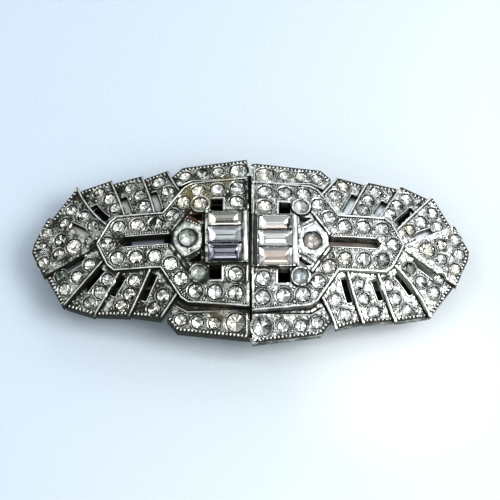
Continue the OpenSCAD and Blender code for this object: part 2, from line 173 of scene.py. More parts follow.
# %% [markdown]
# The castings are white metal under worn plating. The plating is bright on what stands up and gets
# rubbed, and a dark olive film has settled wherever a cloth can't reach. Ambient occlusion measures
# just that, so it drives the film. Larger noise makes the film patchy, as it is on the real one.
# Faces turned sideways or down are painted dark all over, as painted shade, and on the right clip
# some step walls between the lower rays are painted pale, as painted light. The left clip's film is
# settled thicker than the right clip's: partly its heavier tarnish, partly painted shade for the
# clip that faces away from the window. The beads, lips and rings get the same recipe with less
# film, because they are rubbed the most. Glue, rust and dirt are soft spots of another colour.

# %% Plating
FILM = (0.028, 0.030, 0.020)
PATCH_SIZE = 1.9
GRIT_SIZE = 0.42


def plating(name, film, settled, bright, reach, pits, waves, uneven=1.3, stains=(), pale=()):
    """Film grows by the amount film in hollows of a reach in mm, and is settled thick elsewhere.

    Pits and waves are the heights of the fine and the broad bumps, and uneven is how patchy it is.
    Stains are on all faces. Pale spots on upright ones are painted light, and take the shine off there.
    """
    m = Recipe(name)
    open_sky = m.open_sky(reach)
    patches = m.noise(PATCH_SIZE*MM, 4.0, 0.6)
    grit = m.noise(GRIT_SIZE*MM, 3.0, 0.6)
    facing = m.node("SeparateXYZ", {}, {0: m.node("NewGeometry", out="Normal")}, "Z")
    # Faces turned sideways or down get film all over: painted shade on walls and undersides
    under = 1 - facing.above(-0.3, 0.55)
    top = facing.above(0.6, 0.9)
    hidden = (1 - open_sky)*2.4 + (patches - 0.5)*(0.3 + top*uneven) + (grit - 0.5)*(0.2 + top*0.7)
    tarnish = (hidden*film + under + settled).above(0.08, 0.75)
    rubbed = m.noise(1.1*MM, 2.0)
    lumps = m.noise(0.9*MM, 1.0)
    plate = m.mix(bright, [c*0.72 for c in bright], rubbed.above(0.4, 0.75))
    colour = m.mix(plate, FILM, tarnish)
    for centre, radius, tint, amount in stains:
        colour = m.mix(colour, tint, m.spot(centre, radius, 0.8)*(patches.above(0.3, 0.6)*amount))
    metallic = 1 - tarnish*0.5
    # Painted light: pale spots on upright faces, drawn without shine
    for centre, radius, tint, amount in pale:
        upright = (1 - facing.math("ABSOLUTE", facing).above(0.2, 0.5))*m.spot(centre, radius, 0.15)*amount
        colour = m.mix(colour, tint, upright)
        metallic = metallic*(1 - upright)
    return m.finish({
        "Base Color": colour,
        "Metallic": metallic,
        "Roughness": 0.24 + tarnish*0.3 + rubbed*0.14,
        "Normal": m.bump(grit*pits + lumps*waves, MM)})


GLUE = (0.30, 0.25, 0.10)
RUST = (0.13, 0.05, 0.025)
EARTH = (0.16, 0.13, 0.08)
PAINTED_LIT_WALL = (0.48, 0.52, 0.45)
# Centre in mm, radius, colour and amount of each stain on the left clip, and of each pale spot of
# painted light on the steps between the right clip's lower rays
STAINS = (((-9.4, 9.6, 11.5), 5.0, GLUE, 0.55), ((-4.0, 12.3, 10.0), 3.0, GLUE, 0.5),
          ((-9.6, 3.9, 11.0), 2.4, RUST, 0.9), ((-5.1, -12.4, 9.3), 3.0, EARTH, 0.7))
PAINTED_LIT_STEPS = (((21.5, -6.8, 8.5), 7.6, PAINTED_LIT_WALL, 0.8), ((28.0, -5.5, 8.0), 7.3, PAINTED_LIT_WALL, 0.8))
OLIVE_GREY = (0.76, 0.79, 0.73)
GREY_WHITE = (0.88, 0.90, 0.87)
# The left clip's plating and worn parts settle more film than the right's: partly its heavier tarnish,
# partly painted shade for the clip that faces away from the window
platings = {"left": plating("left_plating_and_painted_shade", 1.6, 0.49, OLIVE_GREY, 0.7, 0.06, 0.30, 2.3, STAINS),
            "right": plating("right_plating", 3.0, -0.17, GREY_WHITE, 0.5, 0.06, 0.45, pale=PAINTED_LIT_STEPS)}
polished = {"left": plating("left_polish", 1.5, -0.08, (0.92, 0.94, 0.90), 0.3, 0.02, 0.04, 1.3, STAINS),
            "right": plating("right_polish", 1.3, -0.15, (0.92, 0.93, 0.91), 0.3, 0.02, 0.04)}
worn = {"left": plating("left_worn_and_painted_shade", 1.5, 0.18, (0.88, 0.90, 0.85), 0.4, 0.03, 0.12, 2.0, STAINS),
        "right": plating("right_worn", 1.8, -0.05, (0.90, 0.92, 0.90), 0.4, 0.03, 0.12, 1.6)}
dark_edge = plating("dark_edge", 1.0, 0.85, (0.30, 0.34, 0.38), 0.5, 0.03, 0.10)
plate_face = {"left": plating("left_plate_face", 1.9, 0.05, (0.78, 0.83, 0.79), 0.8, 0.03, 0.35, 1.6,
                              STAINS),
              "right": plating("right_plate_face", 1.8, 0.05, (0.88, 0.92, 0.95), 0.8, 0.02, 0.35)}

# %% [markdown]
# The frame, the pin and the clasps are plain plated sheet and wire, hidden behind the castings.
# They get a duller finish of their own: drawn streaks, broad worn patches, and painted shade, black
# wherever something stands within a reach over them. In the photo the windows beside the long
# stones are black, so the frame is painted black behind them too, as painted shade.

# %% Sheet and wire
FRAME_TOP = 5.4
# Places on the frame behind the windows, and how far round them it is painted black, as painted shade
BEHIND_WINDOWS = ((-5.9, 8.6), (5.9, 8.6), (-5.9, -5), (5.9, -5))
WINDOW_SHADE = 2.6


def sheet_metal(name, colour, painted_shade_reach, shaded=()):
    m = Recipe(name)
    streaks = m.noise(0.8*MM, 3.0, 0.6)
    patches = m.noise(5*MM, 2.0)
    worn_colour = m.mix(colour, [c*0.6 for c in colour], patches.above(0.35, 0.7))
    # Painted shade: black where something stands near the sheet, and round the places behind the windows
    unshaded = m.open_sky(painted_shade_reach, 4).above(0.3, 0.85)
    for x, y in shaded:
        unshaded = unshaded*(1 - m.spot((x, y, FRAME_TOP), WINDOW_SHADE, 0.3))
    return m.finish({
        "Base Color": m.mix((0.02, 0.02, 0.018), worn_colour, unshaded),
        "Metallic": 0.9,
        "Roughness": 0.38 + streaks*0.2,
        "Normal": m.bump(streaks, 0.01*MM, 0.5)})


sheet = sheet_metal("sheet_metal", (0.62, 0.61, 0.60), 6, BEHIND_WINDOWS)

# %% Materials of the carried-over solids
finishes = {"left_clip": platings["left"], "right_clip": platings["right"],
            "pin_frame": sheet, "left_clasp": sheet, "right_clasp": sheet}
for name, finish in finishes.items():
    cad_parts[name].data.materials.clear()
    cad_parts[name].data.materials.append(finish)
    print(name, "is finished in", finish.name)

# %% [markdown]
# Both clips are one casting, so the fine parts are drawn once on its plan and placed twice, the
# second time turned by half a turn. Each point of the plan is then dropped onto the solid itself,
# so a bead always sits on metal.

# %% From the casting's plan to the frame
CLIP_SHIFT = 0.4
CLIP_TURN = 0.26
DOME_ACROSS = 34
DOME_ALONG = 132


def clip_matrix(side):
    up = 1 if side == "left" else -1
    turn = math.radians((180 if side == "left" else 0) + up*CLIP_TURN)
    return Matrix.Translation((0, up*CLIP_SHIFT*MM, CREST_Z)) @ Matrix.Rotation(turn, 4, "Z")


def face_z(x, y):
    """Height of the curved face that all levels are counted from, in mm from its crest."""
    across = math.sqrt(DOME_ACROSS**2 - y*y)
    return math.sqrt((DOME_ALONG - DOME_ACROSS + across)**2 - x*x) - DOME_ALONG


def solid_tree(name):
    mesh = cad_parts[name].data
    corners = [v.co.copy() for v in mesh.vertices]
    return BVHTree.FromPolygons(corners, [p.vertices[:] for p in mesh.polygons])


trees = {side: solid_tree(side + "_clip") for side in SIDES}
plans = {side: clip_matrix(side) for side in SIDES}


def on_plan(side, x, y, z):
    """A point of the plan, in mm, as a point of the frame."""
    return plans[side] @ Vector((x*MM, y*MM, z*MM))


ABOVE_ALL = 10          # z in the plan that rays start from, over and under the whole casting
BELOW_ALL = -11


def drop(side, x, y):
    """The top of the casting under a point of its plan: place and normal in the plan, in mm."""
    place, normal, _, _ = trees[side].ray_cast(on_plan(side, x, y, ABOVE_ALL), Vector((0, 0, -1)))
    if place is None:
        return None
    back = plans[side].inverted()
    return (back @ place)/MM, back.to_3x3() @ normal


print("face under (20, 3):", drop("right", 20, 3))

# %% [markdown]
# Small parts repeat a few hundred times. Each kind is worked out once as a list of points and
# faces, then stamped at every place it is needed, and all the stamps become one mesh.

# %% Stamping many copies into one mesh
class Heap:
    def __init__(self):
        self.points = []
        self.faces = []
        self.tints = []
        self.facets = []
        self.slots = []
        self.count = 0

    def add(self, points, faces, slots=None, tints=None, facets=None):
        self.faces += [[i + self.count for i in f] for f in faces]
        self.slots += list(slots) if slots is not None else [0]*len(faces)
        self.points.append(np.asarray(points, float))
        for face, tint in zip(faces, tints or [(1, 1, 1)]*len(faces)):
            self.tints += [(*tint, 1)]*len(face)
        for face, facet in zip(faces, facets or [(0, 0, 1)]*len(faces)):
            self.facets += [tuple(facet)]*len(face)
        self.count += len(points)

    def piece(self, name, materials, smooth=True, replaces=()):
        mesh = bpy.data.meshes.new(name)
        mesh.from_pydata(np.vstack(self.points).tolist(), [], self.faces)
        for material in materials:
            mesh.materials.append(material)
        mesh.polygons.foreach_set("material_index", self.slots)
        mesh.polygons.foreach_set("use_smooth", [smooth]*len(self.faces))
        tint = mesh.color_attributes.new("tint", "FLOAT_COLOR", "CORNER")
        tint.data.foreach_set("color", np.array(self.tints, np.float32).ravel())
        facet = mesh.attributes.new("facet", "FLOAT_VECTOR", "CORNER")
        facet.data.foreach_set("vector", np.array(self.facets, np.float32).ravel())
        mesh.update()
        made = add_object(name, mesh)
        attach(made, "root")
        if replaces:
            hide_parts(*replaces)
        print(name, "has", len(self.faces), "faces")


def standing(place, normal, along=(1, 0, 0)):
    """A matrix that stands a stamp on a place with its Z along the normal and X near along."""
    z = Vector(normal).normalized()
    x = (Vector(along) - z*z.dot(Vector(along))).normalized()
    m = Matrix((x, z.cross(x), z)).transposed().to_4x4()
    m.translation = place
    return m


def stamped(points, matrix):
    a = np.array(matrix)
    return np.asarray(points) @ a[:3, :3].T + a[:3, 3]


def ring(radius, z, n, turn=0.0):
    angles = [turn + 2*math.pi*i/n for i in range(n)]
    return [(radius*math.cos(a), radius*math.sin(a), z) for a in angles]


def between_rings(a, b, n):
    return [[a + i, a + (i + 1) % n, b + (i + 1) % n, b + i] for i in range(n)]


def between_tiers(tiers, n):
    """Faces between rings of n points that follow each other."""
    return [f for t in range(tiers - 1) for f in between_rings(t*n, (t + 1)*n, n)]


# %% [markdown]
# These are the corners of the casting's plan that the fine parts follow, in millimetres, on the
# half that is drawn: x runs away from the seam. The second clip is the same, turned.

# %% Plan of one casting
LEAN = 0.025
RAY_STEP = 0.45
SLOT_WALL = 0.12
SLOT_W = 1.2
BAR_EDGE = ((14.3, 13.6), (12.5, 15.7), (0.28, 17.2))
BAND_EDGE = ((0.28, 12.3), (10.6, 11.35), (11.9, 10.5), (15.5, 5.25), (23.7, 5.2), (25, 4.1), (27.1, 0))
SLOT_EDGE = ((14.2, 0.88), (22.1, 0.88))
TIP_EDGE = ((38.9, 0.1), (38.6, -1.5))
# Lines between the rays: foot x, foot y, heading, bend, length, slot from, slot to
UPPER_LINES = ((12.3, 9.3, 53, 0, 5.2, 0, 0), (17.1, 5, 64, -2, 8.5, 0.7, 5.4),
               (22.5, 5, 58, 0, 8.5, 0.7, 4.3), (25.6, 3, 47, 0, 10.1, 1.3, 6),
               (27, 0.2, 26, -4, 10.2, 2.8, 7))
LOWER_LINES = ((12.3, -9.9, -64, -12, 5.1, 0, 0), (16.6, -5, -73, 8, 8.9, 0.9, 5.2),
               (21.9, -5, -70, 4, 8.5, 0.9, 4.6), (25.2, -3.8, -55, -24, 10.1, 0.9, 5.4),
               (27, -0.6, -33, 0, 10.5, 2.2, 6.8))
FANS = ((UPPER_LINES, 1), (LOWER_LINES, -1))


def line_point(line, along, aside):
    """A point of a line between rays, which is straight or an arc, and a distance to its left."""
    x, y, heading, bend, length = line[:5]
    start = math.radians(heading - bend/2)
    here = math.radians(heading + bend*(along/length - 0.5))
    if bend:
        r = length/math.radians(bend)
        x, y = x + r*(math.sin(here) - math.sin(start)), y - r*(math.cos(here) - math.cos(start))
    else:
        x, y = x + along*math.cos(here), y + along*math.sin(here)
    return x - aside*math.sin(here), y + aside*math.cos(here)


def lean(points):
    """A line of the upper half, set on the casting's slight lean."""
    return [(x + LEAN*y, y) for x, y in points]


def lean_below(points):
    """The same line on the lower half."""
    return [(x - LEAN*y, -y) for x, y in points]


def inward(points, distance, side):
    """A polyline moved to one side by a distance: side 1 is its left."""
    moved = []
    for i, p in enumerate(points):
        before = Vector(p) - Vector(points[max(i - 1, 0)])
        after = Vector(points[min(i + 1, len(points) - 1)]) - Vector(p)
        along = (before.normalized() + after.normalized()).normalized()
        normal = Vector((-along.y, along.x))*side
        bend = max(0.5, abs((after if after.length else before).normalized().dot(along)))
        moved.append(tuple(Vector(p) + normal*distance/bend))
    return moved


def steps(points, pitch):
    """Points at an even pitch along a polyline, with its heading at each."""
    lengths = [(Vector(b) - Vector(a)).length for a, b in zip(points, points[1:])]
    total = sum(lengths)
    count = max(1, round(total/pitch))
    found = []
    for k in range(count):
        left = (k + 0.5)*total/count
        i = 0
        while i < len(lengths) - 1 and left > lengths[i]:
            left -= lengths[i]
            i += 1
        a, b = Vector(points[i]), Vector(points[i + 1])
        found.append((tuple(a + (b - a)*left/lengths[i]), tuple((b - a).normalized())))
    return found


# %% [markdown]
# A bead is a low dome with its foot in the metal. The jeweller rolled rows of them along the
# outer edges, finer ones along the band, and raised loose grains between the stones, partly to
# hold them. They catch the light as points, which is most of this brooch's sparkle after glass.

# %% Beads
def bead(sides=8):
    """A dome of radius 1, with its foot sunk by half its radius."""
    points = ring(0.9, -0.5, sides) + ring(1, 0, sides) + ring(0.72, 0.62, sides) + [(0, 0, 0.92)]
    faces = between_tiers(3, sides)
    faces += [[2*sides + i, 2*sides + (i + 1) % sides, 3*sides] for i in range(sides)]
    return np.array(points), faces


BEAD_POINTS, BEAD_FACES = bead()
# Least levels against the curved face, in mm, of the metal that a bead or lip may stand on
ANY_LEVEL = -9.0
ON_RAYS = -2
ON_EDGES = -1.5
ON_BARS = -1
ON_BAND = 0.5


def add_bead(heap, side, spot, size, heading, least=ANY_LEVEL):
    """Stands a bead of a size (along the heading, across it, up) on the casting."""
    found = drop(side, *spot)
    if found is None or found[0].z - face_z(*spot) < least:
        return
    place, normal = found
    if normal.z < 0.8:
        normal = Vector((0, 0, 1))
    turn = plans[side].to_3x3()
    seat = standing(on_plan(side, *place), turn @ normal, turn @ Vector((*heading, 0)))
    heap.add(stamped(BEAD_POINTS*np.array(size)*MM, seat), BEAD_FACES)


EDGE_BEAD = (0.22, 0.34, 0.28)
EDGE_PITCH = 0.68
EDGE_INSET = 0.46
RIM_BEAD = (0.14, 0.24, 0.15)
RIM_PITCH = 0.44
RIM_W = 0.36


def edge_rows(inset, start=0.5):
    """Lines along the outer edge, moved in by a distance."""
    rows = [inward(lean(BAR_EDGE), inset, 1), inward(lean_below(BAR_EDGE), inset, -1)]
    for lines, side in FANS:
        for a, b in zip(lines, lines[1:]):
            end = [line_point(a, a[4] + RAY_STEP, -side*start), line_point(b, b[4], side*0.2)]
            rows.append(inward(end, inset, -side))
    upper, lower = UPPER_LINES[4], LOWER_LINES[4]
    tip = [line_point(upper, upper[4] + RAY_STEP, -start), *TIP_EDGE,
           line_point(lower, lower[4] + RAY_STEP, start)]
    rows.append(inward(tip, inset, -1))
    return rows


def rim_rows():
    return [inward(lean(BAND_EDGE), RIM_W + 0.2, -1), inward(lean_below(BAND_EDGE), RIM_W + 0.2, 1),
            inward(lean(SLOT_EDGE), 0.5, 1), inward(lean_below(SLOT_EDGE), 0.5, -1)]


def worn_size(size):
    """A bead's size, uneven as the real ones are, some of them worn low."""
    return np.array(size)*np.array((0.9 + 0.2*rng.random(), 0.8 + 0.3*rng.random(), 0.6 + 0.5*rng.random()))


rng = np.random.default_rng(3)
for side in SIDES:
    heap = Heap()
    for row in edge_rows(EDGE_INSET):
        for spot, heading in steps(row, EDGE_PITCH):
            add_bead(heap, side, spot, worn_size(EDGE_BEAD), heading, ON_EDGES)
    for row in rim_rows():
        for spot, heading in steps(row, RIM_PITCH):
            add_bead(heap, side, spot, worn_size(RIM_BEAD), heading, 0)
    heap.piece(side + "_beaded_edges", [polished[side]])

# %% [markdown]
# Every border that the beads don't cover is a thin rounded lip, worn bright: along the band, on the
# high edge of each ray, round the slots and windows, and beside the seam. A curve with a bevel could
# draw it, but it wouldn't lie on the casting. So a half-round section is swept along each line,
# whose level is found by a ray at each step. The outer edge and the rail at the seam are wide, low
# lips, since they differ from the metal round them in colour more than in shape.

# %% Polished lips
LIP_SECTION = ((-0.5, -0.9), (-0.47, 0.1), (-0.25, 0.8), (0, 1), (0.25, 0.8), (0.47, 0.1), (0.5, -0.9))
LIP_STEP = 0.35
LIP_END = 0.6           # of a lip's section at its two ends


def finely(points, pitch):
    """The same polyline with points at most a pitch apart."""
    found = [Vector(points[0])]
    for a, b in zip(points, points[1:]):
        n = max(1, math.ceil((Vector(b) - Vector(a)).length/pitch))
        found += [Vector(a).lerp(Vector(b), (i + 1)/n) for i in range(n)]
    return found


def add_lip(heap, side, line, width, height, least):
    """Sweeps a lip along the part of a line where the casting is higher than a least level."""
    path = []
    for spot in finely(line, LIP_STEP):
        found = drop(side, *spot)
        if found and found[0].z - face_z(*spot) > least:
            path.append((spot, found[0].z))
    if len(path) < 2:
        print("no metal under a lip near", tuple(round(c, 1) for c in line[0]))
        return
    levels = [z - face_z(*spot) for spot, z in path]
    n = len(LIP_SECTION)
    points = []
    for i, (spot, _) in enumerate(path):
        near = sorted(levels[max(0, i - 2):i + 3])
        level = near[len(near)//2]
        ahead = (path[min(i + 1, len(path) - 1)][0] - path[max(i - 1, 0)][0]).normalized()
        across = Vector((-ahead.y, ahead.x))
        taper = LIP_END if i in (0, len(path) - 1) else 1
        for u, v in LIP_SECTION:
            z = face_z(*spot) + level + v*height*taper
            points.append(on_plan(side, *(spot + across*u*width*taper), z))
    faces = [[i*n + j, (i + 1)*n + j, (i + 1)*n + j + 1, i*n + j + 1]
             for i in range(len(path) - 1) for j in range(n - 1)]
    faces += [list(range(n)), list(range((len(path) - 1)*n, len(path)*n))[::-1]]
    heap.add(points, faces)


def line_run(line, start, end, aside):
    return [line_point(line, start + (end - start)*i/4, aside) for i in range(5)]


# Lips of each half of the casting: line, width, height and least level. They run along the seam,
# round the window, at the seam beside the arch, along the end bar and round its largest stone
HALF_LIPS = ((((0.44, 5.25), (0.44, 12.1)), 0.30, 0.10, ON_BAND),
             (((4.70, 5.2), (4.70, 7.80), (7.0, 7.80)), 0.42, 0.14, ON_BAND),
             (((0.40, 0), (0.40, 4.8)), 0.14, 0.07, ON_BAND),
             (((5.4, 12.55), (10.8, 12.5), (12.85, 11.4)), 0.30, 0.14, ON_BARS),
             (((3.35, 12.9), (4.3, 13.6), (4.5, 14.5), (4.3, 15.4), (3.6, 16.1)), 0.16, 0.10, ON_BARS))
# A lip that only the upper half has, along the seam at the end bar: below, the line leans off it
UPPER_BAR = ((0.44, 12.7), (0.44, 17.0))


def lip_lines():
    """Each lip's line, width, height and least level."""
    lips = [(lean(UPPER_BAR), 0.30, 0.10, ON_BARS)]
    for half, turn in ((lean, 1), (lean_below, -1)):
        lips.append((inward(half(BAND_EDGE), 0.16, -turn), 0.28, 0.07, ON_BAND))
        lips.append((inward(half(SLOT_EDGE), 0.14, turn), 0.24, 0.10, ON_BAND))
        lips += [(half(line), *rest) for line, *rest in HALF_LIPS]
    for lines, side in FANS:
        for line in lines[:4]:
            lips.append((line_run(line, 0.3, line[4] + 0.12, -side*0.18), 0.30, 0.07, ON_RAYS))
        for line in lines:
            start, end = line[5:7]
            if end:
                wall = side*(SLOT_WALL + SLOT_W + 0.14)
                hook = [line_point(line, end + 0.16, wall*0.75), line_point(line, end + 0.16, wall*0.2)]
                lips.append((line_run(line, start, end, wall) + hook, 0.26, 0.16, ON_RAYS))
    return lips


# The rails at the two ends of the long stones, and the lip on the outer edge
ARCH_RAIL = (((7.75, -4.6), (7.75, 4.6)), 0.9, 0.12, ON_BAND)
SEAM_RAIL = (((0.84, -4.8), (0.84, 4.8)), 0.74, 0.12, ON_BAND)
OUTER_LIP = (0.84, 0.05, ON_RAYS)
OUTER_INSET = 0.44
for side in SIDES:
    heap = Heap()
    for line, width, height, least in lip_lines():
        add_lip(heap, side, line, width, height, least)
    if side == "right":
        add_lip(heap, side, *ARCH_RAIL)
    heap.piece(side + "_lips", [polished[side]])

    heap = Heap()
    for row in edge_rows(OUTER_INSET, 0.0):
        add_lip(heap, side, row, *OUTER_LIP)
    heap.piece(side + "_outer_edge", [dark_edge])

    heap = Heap()
    add_lip(heap, side, *SEAM_RAIL)
    finish = polished[side] if side == "left" else dark_edge
    heap.piece(side + "_rail_face", [finish])

# %% [markdown]
# A thin piece of sheet is soldered under each casting behind its long slot, which is why that slot
# looks grey and not black. In the photo three of the upper slots of each clip are pale, and so are
# the small gaps beside the right plate, while the left one is rusty. The pale sheets under them are
# painted light, standing in for the lit metal and paper seen through there, and the rusty sheet is
# rust. Each is a slab between corners of the plan that follows the casting's curved face.

# %% Sheet behind the long slot
def slab(heap, side, corners, low, high, across=1):
    """A slab over corners, from a low to a high level. With across 0 it is curved along X alone."""
    n = len(corners)
    if sum(a[0]*b[1] - a[1]*b[0] for a, b in zip(corners, corners[1:] + corners[:1])) < 0:
        corners = corners[::-1]
    points = [on_plan(side, x, y, face_z(x, y*across) + level) for level in (low, high) for x, y in corners]
    heap.add(points, [list(range(n))[::-1], list(range(n, 2*n))] + between_rings(0, n, n))


slot_sheet = {"left": sheet_metal("slot_sheet_left", (0.30, 0.33, 0.37), 0.5),
              "right": sheet_metal("slot_sheet_right", (0.27, 0.24, 0.22), 0.5)}
SLOT_SHEET = {"left": (15.2, 20.9), "right": (13.9, 22.6)}
for side in SIDES:
    heap = Heap()
    x0, x1 = SLOT_SHEET[side]
    corners = [(x0, -1.5), (x1 - 0.5, -1.5), (x1, -0.9), (x1, 0.9), (x1 - 0.5, 1.5), (x0, 1.5)]
    slab(heap, side, corners, -1.85, -1.45, across=0)
    heap.piece(side + "_slot_sheet", [slot_sheet[side]], smooth=False)


# %% Sheets under the photo's upper slots, and beside the plates
def underside(side, x, y):
    """How far the casting's underside is from its curved face, in mm."""
    place = trees[side].ray_cast(on_plan(side, x, y, BELOW_ALL), Vector((0, 0, 1)))[0]
    return ANY_LEVEL if place is None else (plans[side].inverted() @ place).z/MM - face_z(x, y)


RAY_SHEET = 0.5         # how far a sheet reaches beyond its slot
# Painted light: these pale sheets stand in for the lit metal and paper seen through the slots
painted_lit_ray_sheet = {"left": sheet_metal("left_ray_sheet", (0.88, 0.86, 0.82), 0.5),
             "right": sheet_metal("right_ray_sheet", (0.80, 0.85, 0.88), 0.5)}
# The pale gusset sheet is painted light too; the rusty one is rust
gusset_sheet = {"left": sheet_metal("rusty_sheet", (0.16, 0.09, 0.06), 0.5),
                "right": sheet_metal("painted_lit_gusset_sheet", (0.74, 0.80, 0.80), 0.3)}
GUSSET = ((8.0, 1.9), (8.0, 4.7), (10.6, 4.7), (11.3, 3.9))
GUSSETS = {"left": (lean_below,), "right": (lean, lean_below)}
for side, lines, up in (("left", LOWER_LINES, -1), ("right", UPPER_LINES, 1)):
    heap = Heap()
    for line in (lines[1], lines[2], lines[4]):
        start, end = line[5] - RAY_SHEET, line[6] + RAY_SHEET
        near, far = up*(SLOT_WALL - RAY_SHEET), up*(SLOT_WALL + SLOT_W + RAY_SHEET)
        corners = [line_point(line, *c) for c in ((start, near), (end, near), (end, far), (start, far))]
        level = max(underside(side, *c) for c in corners)
        print("sheet under a slot at level", round(level, 2))
        slab(heap, side, corners, level - 0.25, level + 0.03)
    heap.piece(side + "_ray_sheets", [painted_lit_ray_sheet[side]], smooth=False)

    heap = Heap()
    for half in GUSSETS[side]:
        slab(heap, side, half(GUSSET), -1.3, -1.0)
    heap.piece(side + "_gusset_sheets", [gusset_sheet[side]], smooth=False)

# %% [markdown]
# The stones are small machine-cut brilliants: a flat table, a crown of kites and triangles, and a
# pavilion with a metal foil behind it. Light enters by the crown, is thrown back by the foil and
# leaves by the crown again, which gives the broken bright and dark pattern. So the crown's faces
# are clear glass and the pavilion's faces are a mirror, seen through the glass. The foil's narrow
# facets are also painted dark, as painted reflection, and its edge as painted shade round the
# stone. Small stones have eight main facets and the large ones fourteen, as the finer spokes in the
# photo show.

# %% A brilliant of radius 1
# The foil's edge is painted dark, as painted shade round the stone
EDGE = 0.91         # where the foil's dark edge ends


def brilliant(n=8, table=0.60, crown=0.32, depth=0.66, culet=0.12, wide=0.8):
    """Its n main facets, above and below, take the wide part of the turn, with narrow ones between."""
    each = 2*math.pi/n
    pairs = [each*(k + a) for k in range(n) for a in (-wide/2, wide/2)]
    points = (ring(table, crown, n) + [(math.cos(a), math.sin(a), 0.02) for a in pairs]
              + [(math.cos(a), math.sin(a), -0.03) for a in pairs]
              + [(EDGE*math.cos(a), EDGE*math.sin(a), -0.03 - depth*(1 - EDGE)) for a in pairs]
              + ring(culet, -depth, n, each/2))
    T, G, H, E, C = 0, n, 3*n, 5*n, 7*n
    crown_faces = [list(range(n))]
    foil_faces = [[C + i for i in range(n)]]
    for k in range(n):
        a, b, c = 2*k, 2*k + 1, (2*k + 2) % (2*n)
        after = (k + 1) % n
        crown_faces += [[T + k, G + b, G + c, T + after], [T + k, G + a, G + b]]
        foil_faces += [[E + a, E + b, C + k, C + (k - 1) % n], [E + b, E + c, C + k]]
    girdle = between_rings(H, G, 2*n)
    edge = between_rings(E, H, 2*n)
    faces = crown_faces + girdle + foil_faces + edge
    slots = [0]*(len(crown_faces) + len(girdle)) + [1]*(len(foil_faces) + len(edge))
    return np.array(points), faces, slots


def outward(points, faces):
    """Turns each face of a convex shape so that it faces out."""
    points = np.asarray(points, float)
    middle = points.mean(0)
    turned = []
    for f in faces:
        a, b, c = points[f[0]], points[f[1]], points[f[2]]
        out = np.cross(b - a, c - a) @ (points[f].mean(0) - middle)
        turned.append(f if out > 0 else f[::-1])
    return turned


# %% Where the CAD's stones are
def loose_solids(name):
    """The corners of each loose solid of a node, in mm."""
    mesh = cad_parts[name].data
    spots = {}
    index = []
    for v in mesh.vertices:
        index.append(spots.setdefault(tuple(round(c, 7) for c in v.co), len(spots)))
    parent = list(range(len(spots)))

    def root(i):
        while parent[i] != i:
            parent[i] = parent[parent[i]]
            i = parent[i]
        return i

    for p in mesh.polygons:
        first = root(index[p.vertices[0]])
        for i in p.vertices[1:]:
            parent[root(index[i])] = first
    groups = {}
    for spot, i in spots.items():
        groups.setdefault(root(i), []).append(spot)
    return [np.array(g)/MM for g in groups.values()]


PAVILION = 0.65         # depth of a round stone's back over its radius


def read_stone(corners):
    """Place of the girdle's middle, the axis and the radius of a round stone."""
    _, _, axes = np.linalg.svd(corners - corners.mean(0))
    axis = axes[2] if axes[2][2] > 0 else -axes[2]
    along = corners @ axis
    tip = corners[along.argmin()]
    radius = np.linalg.norm(corners - tip - np.outer(along - along.min(), axis), axis=1).max()
    return tip + axis*PAVILION*radius, axis, radius


stone_nodes = [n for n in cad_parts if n.endswith("_stones") or "_stone" in n]
stones = {n: [read_stone(c) for c in loose_solids(n)] for n in stone_nodes}
print("round stones:", sum(len(s) for s in stones.values()))

# %% Glass and foil
def foil(name, metallic, rough, spoilt, pressed=False):
    """Foil behind glass. Where it is pressed, each facet mirrors along its own stored direction."""
    m = Recipe(name)
    tint = m.node("Attribute", {"attribute_name": "tint"}, {}, "Color")
    spots = m.noise(0.5*MM, 3.0, 0.7)
    colour = m.mix(tint, (0.10, 0.10, 0.08), spots.above(0.62, 0.9)*spoilt)
    sockets = {"Base Color": colour, "Metallic": metallic, "Roughness": rough}
    if pressed:
        sockets["Normal"] = m.node("Attribute", {"attribute_name": "facet"}, {}, "Vector")
    return m.finish(sockets)


clear_glass = Recipe("clear_glass").finish({"Base Color": (1, 1, 1, 1), "Roughness": 0.02, "IOR": 1.5,
                                            "Transmission Weight": 1.0})
bright_foil = {"left": foil("left_foil", 0.80, 0.08, 0.5, pressed=True),
               "right": foil("right_foil", 0.72, 0.08, 0.4, pressed=True)}
long_foil = foil("long_foil", 0.65, 0.07, 0.3, pressed=True)
grey_foil = foil("grey_foil", 0.3, 0.3, 0.5)

# %% A smooth stone of radius 1
def smooth_stone():
    """A low dome of glass over a shallow dish of foil."""
    n = 24
    dish = ((0.25, -0.38), (0.5, -0.34), (0.72, -0.25), (0.90, -0.13), (0.98, -0.04))
    dome = ((1, 0.04), (0.90, 0.22), (0.66, 0.36), (0.34, 0.43))
    points = [p for r, z in dish + dome for p in ring(r, z, n)] + [(0, 0, -0.40), (0, 0, 0.45)]
    tiers = len(dish) + len(dome)
    low, high = tiers*n, tiers*n + 1
    faces = between_tiers(tiers, n)
    slots = [1]*(n*(len(dish) - 1)) + [0]*(n*len(dome))
    faces += [[(i + 1) % n, i, low] for i in range(n)]
    faces += [[low - n + i, low - n + (i + 1) % n, high] for i in range(n)]
    return np.array(points), faces, slots + [1]*n + [0]*n


# %% Set the stones
rng = np.random.default_rng(7)
LARGE = 1.3             # from this radius on, a stone has the finer cut
cuts = []
for facets in (8, 14):
    points, faces, slots = brilliant(facets)
    cuts.append((points, outward(points, faces), slots))
dome_points, dome_faces, dome_slots = smooth_stone()
WHITE = (0.97, 0.98, 0.97)
AMBER = (0.80, 0.76, 0.64)
STRAW = (0.93, 0.91, 0.80)
MIST = (0.42, 0.47, 0.43)
SMOKE = (0.42, 0.43, 0.40)
STEEL = (0.36, 0.42, 0.43)
CLAY = (0.46, 0.42, 0.38)
PAINTED_FOIL_SHADE = (0.12, 0.13, 0.12)
